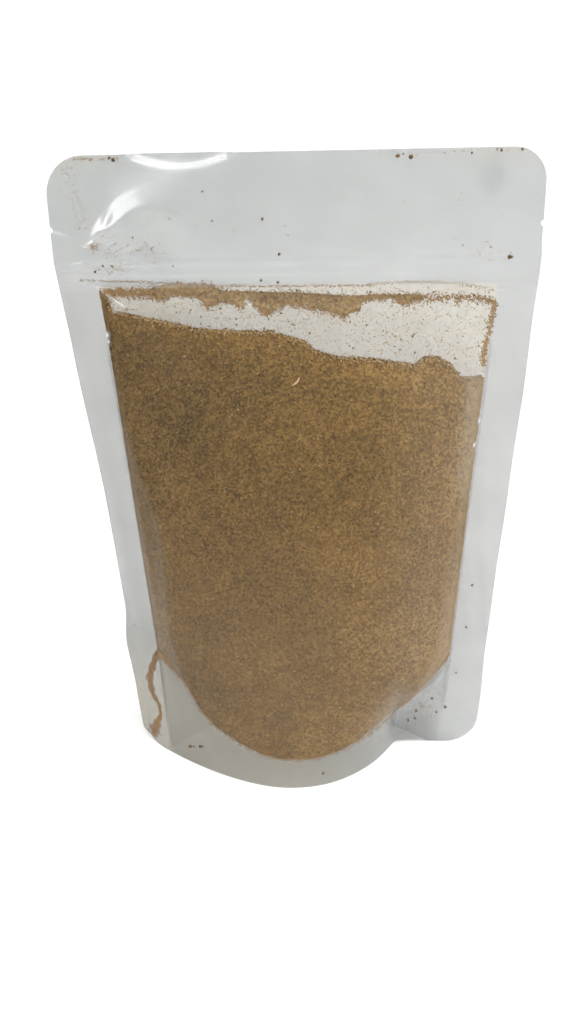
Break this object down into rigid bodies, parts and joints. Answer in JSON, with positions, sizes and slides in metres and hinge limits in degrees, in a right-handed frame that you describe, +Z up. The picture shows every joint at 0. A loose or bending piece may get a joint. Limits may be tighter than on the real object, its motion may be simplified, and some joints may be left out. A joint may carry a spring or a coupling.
{
  "type": "filled stand-up pouch",
  "caption": "Clear stand-up pouch with side seals, a press zip and an opened folded base, filled with coarse brown powder.",
  "frame": {"origin": "centre of the bounding box's bottom, on the surface that the pouch stands on", "axes": "+Z up the height, from the rim that it stands on to the top edge; +X across the width, to the right as the front is seen; +Y from the front panel to the back panel"},
  "size_m": [0.14, 0.0488, 0.203],
  "materials": {
    "pouch": "clear film over matt brown powder"
  },
  "bodies": {
    "root": {"pouch": "pouch"}
  },
  "joints": []
}
